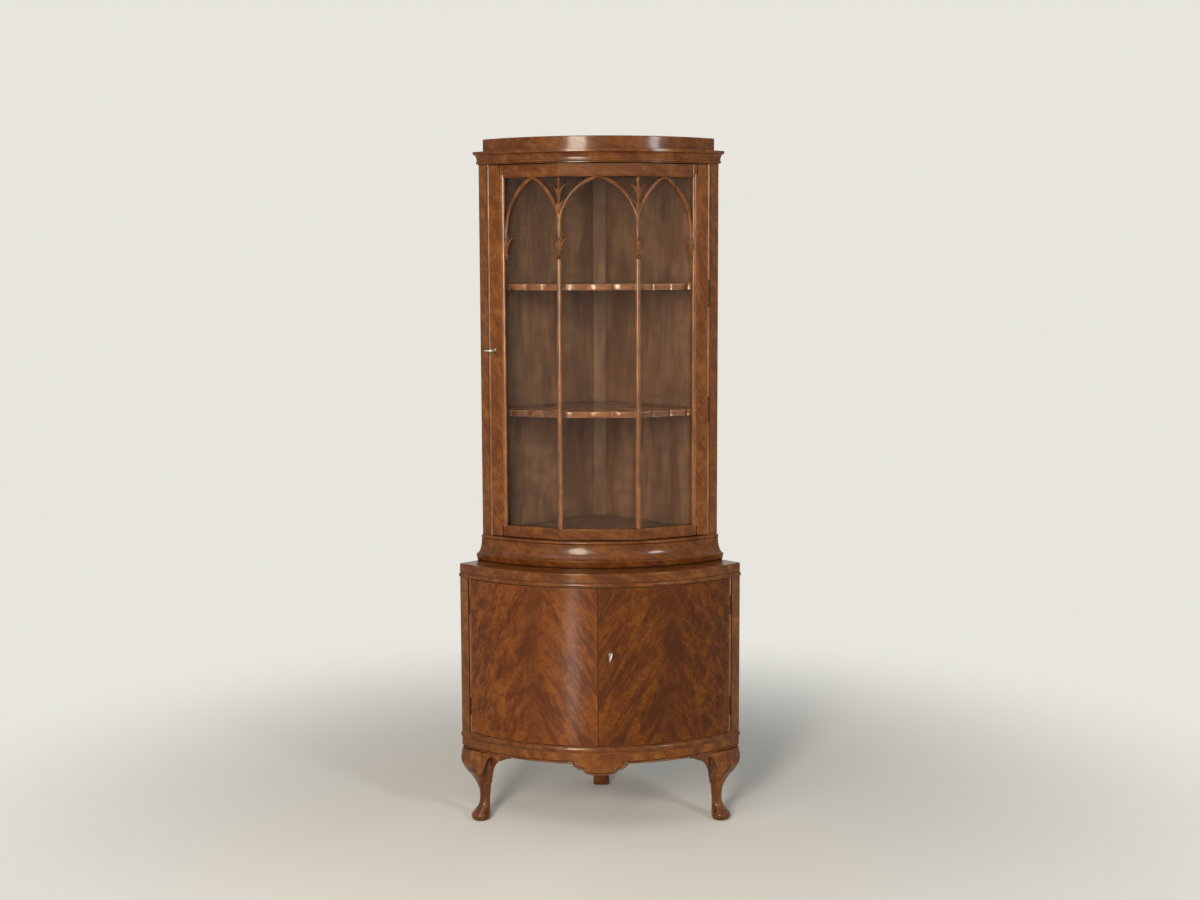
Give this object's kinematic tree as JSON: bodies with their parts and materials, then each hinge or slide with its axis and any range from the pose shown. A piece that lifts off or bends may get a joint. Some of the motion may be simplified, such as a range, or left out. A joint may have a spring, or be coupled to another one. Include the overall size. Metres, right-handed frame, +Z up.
{
  "type": "corner cabinet",
  "caption": "Bow-fronted corner cabinet with a glazed, arched display stage on a two-door base with cabriole legs.",
  "frame": {"origin": "middle of the cabinet's plan box, on the floor", "axes": "+Z up; the bowed front faces -Y, the two back boards lie on the 45 degree wall planes towards +Y"},
  "size_m": [0.7414, 0.5394, 1.8],
  "materials": {
    "veneer": "gloss",
    "solid_wood": "gloss",
    "inside_wood": "satin",
    "glass": "gloss",
    "brass": "satin",
    "steel": "satin"
  },
  "bodies": {
    "cabinet": {"apron": "veneer", "attic_blocking": "veneer", "base_bottom": "inside_wood", "base_left_lower_hinge_frame_leaf": "brass", "base_left_side": "inside_wood", "base_left_stile": "solid_wood", "base_left_upper_hinge_frame_leaf": "brass", "base_lower_rail": "solid_wood", "base_rear_board": "inside_wood", "base_right_lower_hinge_frame_leaf": "brass", "base_right_side": "inside_wood", "base_right_stile": "solid_wood", "base_right_upper_hinge_frame_leaf": "brass", "base_shelf": "inside_wood", "base_top": "veneer", "base_top_rail": "solid_wood", "cornice": "solid_wood", "display_lower_hinge_frame_leaf": "brass", "display_upper_hinge_frame_leaf": "brass", "left_leg": "solid_wood", "lower_shelf": "solid_wood", "rear_leg": "solid_wood", "right_leg": "solid_wood", "upper_bottom": "inside_wood", "upper_left_side": "inside_wood", "upper_left_stile": "solid_wood", "upper_rear_board": "inside_wood", "upper_right_side": "inside_wood", "upper_right_stile": "solid_wood", "upper_shelf": "solid_wood", "upper_top": "inside_wood", "waist_moulding": "solid_wood"},
    "display_door": {"centre_pane": "glass", "display_door_bottom_rail": "solid_wood", "display_door_left_stile": "solid_wood", "display_door_right_stile": "solid_wood", "display_door_top_rail": "solid_wood", "display_lock": "steel", "display_lower_hinge_door_leaf": "brass", "display_upper_hinge_door_leaf": "brass", "left_mullion": "solid_wood", "left_pane": "glass", "right_mullion": "solid_wood", "right_pane": "glass", "tracery": "solid_wood"},
    "base_right_door_leaf": {"base_lock": "steel", "base_right_door": "veneer", "base_right_lower_hinge_door_leaf": "brass", "base_right_upper_hinge_door_leaf": "brass"},
    "base_left_door_leaf": {"base_left_door": "veneer", "base_left_lower_hinge_door_leaf": "brass", "base_left_upper_hinge_door_leaf": "brass", "left_door_bottom_bolt_case": "brass", "left_door_top_bolt_case": "brass"},
    "display_key_body": {"display_key": "steel"},
    "display_bolt": {"display_lock_bolt": "brass"},
    "base_key_body": {"base_key": "steel"},
    "base_bolt": {"base_lock_bolt": "brass"},
    "top_slide_bolt": {"left_door_top_bolt": "brass"},
    "bottom_slide_bolt": {"left_door_bottom_bolt": "brass"}
  },
  "joints": [
    {"name": "display_door_hinge", "type": "hinge", "parent": "cabinet", "child": "display_door", "pos_m": [0.2845, -0.03455, 1.24885], "axis": [0, 0, 1], "range_deg": [0, 100]},
    {"name": "base_right_door_hinge", "type": "hinge", "parent": "cabinet", "child": "base_right_door_leaf", "pos_m": [0.3395, -0.09327, 0.4546], "axis": [0, 0, 1], "range_deg": [0, 105]},
    {"name": "base_left_door_hinge", "type": "hinge", "parent": "cabinet", "child": "base_left_door_leaf", "pos_m": [-0.3395, -0.09327, 0.4546], "axis": [0, 0, -1], "range_deg": [0, 105]},
    {"name": "display_key_turn", "type": "hinge", "parent": "display_door", "child": "display_key_body", "pos_m": [-0.26978, -0.04487, 1.2558], "axis": [-0.4306, -0.9025, 0], "range_deg": [0, 90]},
    {"name": "display_bolt_slide", "type": "slide", "parent": "display_door", "child": "display_bolt", "axis": [-0.9025, 0.4306, 0], "range_m": [0, 0.006]},
    {"name": "base_key_turn", "type": "hinge", "parent": "base_right_door_leaf", "child": "base_key_body", "pos_m": [0.026, -0.2267, 0.489], "axis": [0.0508, -0.9987, 0], "range_deg": [0, 90]},
    {"name": "base_bolt_slide", "type": "slide", "parent": "base_right_door_leaf", "child": "base_bolt", "axis": [-0.9987, -0.0508, 0], "range_m": [0, 0.006]},
    {"name": "top_bolt_slide", "type": "slide", "parent": "base_left_door_leaf", "child": "top_slide_bolt", "axis": [0, 0, 1], "range_m": [0, 0.01]},
    {"name": "bottom_bolt_slide", "type": "slide", "parent": "base_left_door_leaf", "child": "bottom_slide_bolt", "axis": [0, 0, -1], "range_m": [0, 0.01]}
  ],
  "couplings": [
    {"joint": "display_bolt_slide", "follows": "display_key_turn", "m_per_rad": 0.0038193},
    {"joint": "base_bolt_slide", "follows": "base_key_turn", "m_per_rad": 0.0038193}
  ]
}
